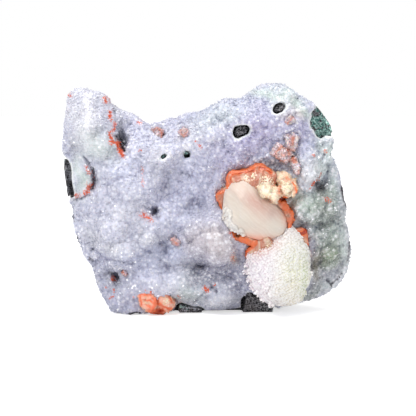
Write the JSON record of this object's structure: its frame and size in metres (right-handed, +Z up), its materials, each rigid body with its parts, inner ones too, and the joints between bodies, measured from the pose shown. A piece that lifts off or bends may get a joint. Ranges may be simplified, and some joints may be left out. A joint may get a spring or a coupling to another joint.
{
  "type": "red apophyllite and stilbite crystals on druzy chalcedony with mordenite, mineral specimen",
  "caption": "Upright mineral specimen: basalt slab with a flat foot, lavender druzy crust over its face, and red-rimmed peach apophyllite and cream stilbite crystals grown on it.",
  "frame": {"origin": "the middle of the basalt's flat foot, on the surface that the specimen stands on", "axes": "+X to the right across the crystal face, +Y from the crystal face to the rough back, +Z up"},
  "size_m": [0.1518, 0.0623, 0.1213],
  "materials": {
    "basalt": "matte broken rock",
    "druse": "sugary sparkle",
    "satin_stilbite": "satin, silky",
    "silky_stilbite": "silky, shingled",
    "pearly_apophyllite": "pearly cleavage",
    "red_apophyllite": "glassy, translucent",
    "pink_apophyllite": "glassy, translucent"
  },
  "bodies": {
    "root": {"basalt_matrix": "basalt", "druzy_crust": "druse", "smooth_stilbite_sheaf": "satin_stilbite", "shingled_stilbite_sheaf": "silky_stilbite", "pearly_apophyllite": "pearly_apophyllite", "upper_apophyllite": "red_apophyllite", "lower_apophyllite": "red_apophyllite", "side_apophyllite": "red_apophyllite", "base_rosette": "red_apophyllite", "square_apophyllite": "pink_apophyllite", "pink_cluster": "pink_apophyllite", "peach_sliver": "pink_apophyllite", "peach_crystal_top": "pink_apophyllite", "pink_rosette_top": "pink_apophyllite", "peach_wedge_top": "pink_apophyllite", "pink_spot_centre": "pink_apophyllite", "pink_spot_left": "pink_apophyllite"}
  },
  "joints": []
}
